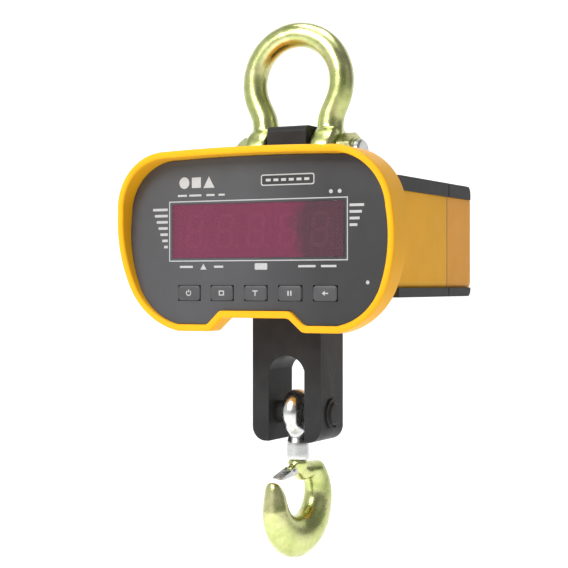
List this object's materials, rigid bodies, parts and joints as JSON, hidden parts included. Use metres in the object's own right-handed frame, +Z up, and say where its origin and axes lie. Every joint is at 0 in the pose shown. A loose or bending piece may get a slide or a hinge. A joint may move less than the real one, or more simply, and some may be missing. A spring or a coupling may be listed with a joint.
{
  "type": "crane scale",
  "caption": "Hanging electronic crane scale: bow shackle, load cell in a housing with a visored display and keys, yoke and a swivelling hook with a safety latch.",
  "frame": {"origin": "inner face of the shackle's crown, where a crane hook carries the scale", "axes": "+Z up, -Y is the side with the display, +X to the right of a person reading it"},
  "size_m": [0.2622, 0.2444, 0.477],
  "materials": {
    "plated_steel": "yellow zinc plated forging, satin",
    "bright_steel": "bright zinc plate",
    "black_steel": "black satin enamel",
    "orange_shell": "orange-yellow powder coat",
    "panel_face": "dark grey printed film",
    "red_window": "dark red filter",
    "key_rubber": "soft grey key",
    "black_rubber": "matt rubber",
    "circuit_board": "green circuit board",
    "black_plastic": "moulded plastic",
    "brass": "turned brass"
  },
  "bodies": {
    "shackle": {"shackle_bow": "plated_steel", "shackle_pin": "bright_steel", "shackle_nut": "bright_steel", "shackle_cotter": "bright_steel"},
    "hook_eye": {"hook_eye": "bright_steel", "swivel_washer": "brass"},
    "hook": {"hook": "plated_steel", "swivel_nut": "bright_steel", "latch_pin": "bright_steel"},
    "safety_latch": {"safety_latch": "plated_steel"},
    "battery_door": {"battery_door": "orange_shell"},
    "door_screw": {"door_screw": "black_rubber", "door_stud": "bright_steel"},
    "socket_cap": {"socket_cap": "black_rubber"},
    "key_power": {"key_power": "key_rubber"},
    "key_zero": {"key_zero": "key_rubber"},
    "key_tare": {"key_tare": "key_rubber"},
    "key_hold": {"key_hold": "key_rubber"},
    "key_enter": {"key_enter": "key_rubber"},
    "scale_body": {"antenna": "black_rubber", "antenna_nut": "bright_steel", "battery": "black_plastic", "battery_cradle": "black_plastic", "battery_leads": "black_rubber", "board_standoffs": "bright_steel", "bottom_seal": "black_rubber", "bracket_screws": "bright_steel", "cap_hinge_pin": "bright_steel", "cell_brackets": "bright_steel", "cell_cable": "black_rubber", "cell_gland": "bright_steel", "charge_socket": "black_plastic", "cover_bumpers": "black_rubber", "cover_screws": "bright_steel", "display_board": "circuit_board", "display_digits": "black_plastic", "display_window": "red_window", "door_hinge_pin": "bright_steel", "front_gasket": "black_rubber", "front_housing": "orange_shell", "front_panel": "panel_face", "gauge_covers": "bright_steel", "hook_pin": "black_steel", "hook_pin_ring": "black_steel", "housing_screws": "bright_steel", "key_switches": "black_plastic", "keypad_board": "circuit_board", "load_cell": "black_steel", "main_board": "circuit_board", "mid_housing": "orange_shell", "rear_cover": "orange_shell", "rear_gasket": "black_rubber", "side_bumpers": "black_rubber", "top_seal": "black_rubber", "yoke": "black_steel", "yoke_bolt": "bright_steel"}
  },
  "joints": [
    {"name": "scale_swing", "type": "hinge", "parent": "shackle", "child": "scale_body", "pos_m": [0, 0, -0.097], "axis": [1, 0, 0], "range_deg": [-50, 50]},
    {"name": "hook_swing", "type": "hinge", "parent": "scale_body", "child": "hook_eye", "pos_m": [0, 0, -0.3256], "axis": [1, 0, 0], "range_deg": [-60, 60]},
    {"name": "hook_swivel", "type": "hinge", "parent": "hook_eye", "child": "hook", "pos_m": [0, 0, -0.368], "axis": [0, 0, 1], "continuous": true},
    {"name": "latch_open", "type": "hinge", "parent": "hook", "child": "safety_latch", "pos_m": [-0.00191, -0.01083, -0.3772], "axis": [0.9848, -0.1736, 0], "range_deg": [0, 50], "stiffness_Nm_per_rad": 0.05, "springref_deg": -34.38},
    {"name": "door_open", "type": "hinge", "parent": "scale_body", "child": "battery_door", "pos_m": [0, 0.1368, -0.2071], "axis": [-1, 0, 0], "range_deg": [0, 110]},
    {"name": "door_screw_turn", "type": "hinge", "parent": "battery_door", "child": "door_screw", "pos_m": [0, 0.137, -0.138], "axis": [0, 1, 0], "continuous": true},
    {"name": "cap_open", "type": "hinge", "parent": "scale_body", "child": "socket_cap", "pos_m": [0.072, 0.1358, -0.194], "axis": [0, 0, 1], "range_deg": [0, 95]},
    {"name": "key_power_press", "type": "slide", "parent": "scale_body", "child": "key_power", "axis": [0, 1, 0], "range_m": [0, 0.001], "stiffness_N_per_m": 400},
    {"name": "key_zero_press", "type": "slide", "parent": "scale_body", "child": "key_zero", "axis": [0, 1, 0], "range_m": [0, 0.001], "stiffness_N_per_m": 400},
    {"name": "key_tare_press", "type": "slide", "parent": "scale_body", "child": "key_tare", "axis": [0, 1, 0], "range_m": [0, 0.001], "stiffness_N_per_m": 400},
    {"name": "key_hold_press", "type": "slide", "parent": "scale_body", "child": "key_hold", "axis": [0, 1, 0], "range_m": [0, 0.001], "stiffness_N_per_m": 400},
    {"name": "key_enter_press", "type": "slide", "parent": "scale_body", "child": "key_enter", "axis": [0, 1, 0], "range_m": [0, 0.001], "stiffness_N_per_m": 400}
  ]
}
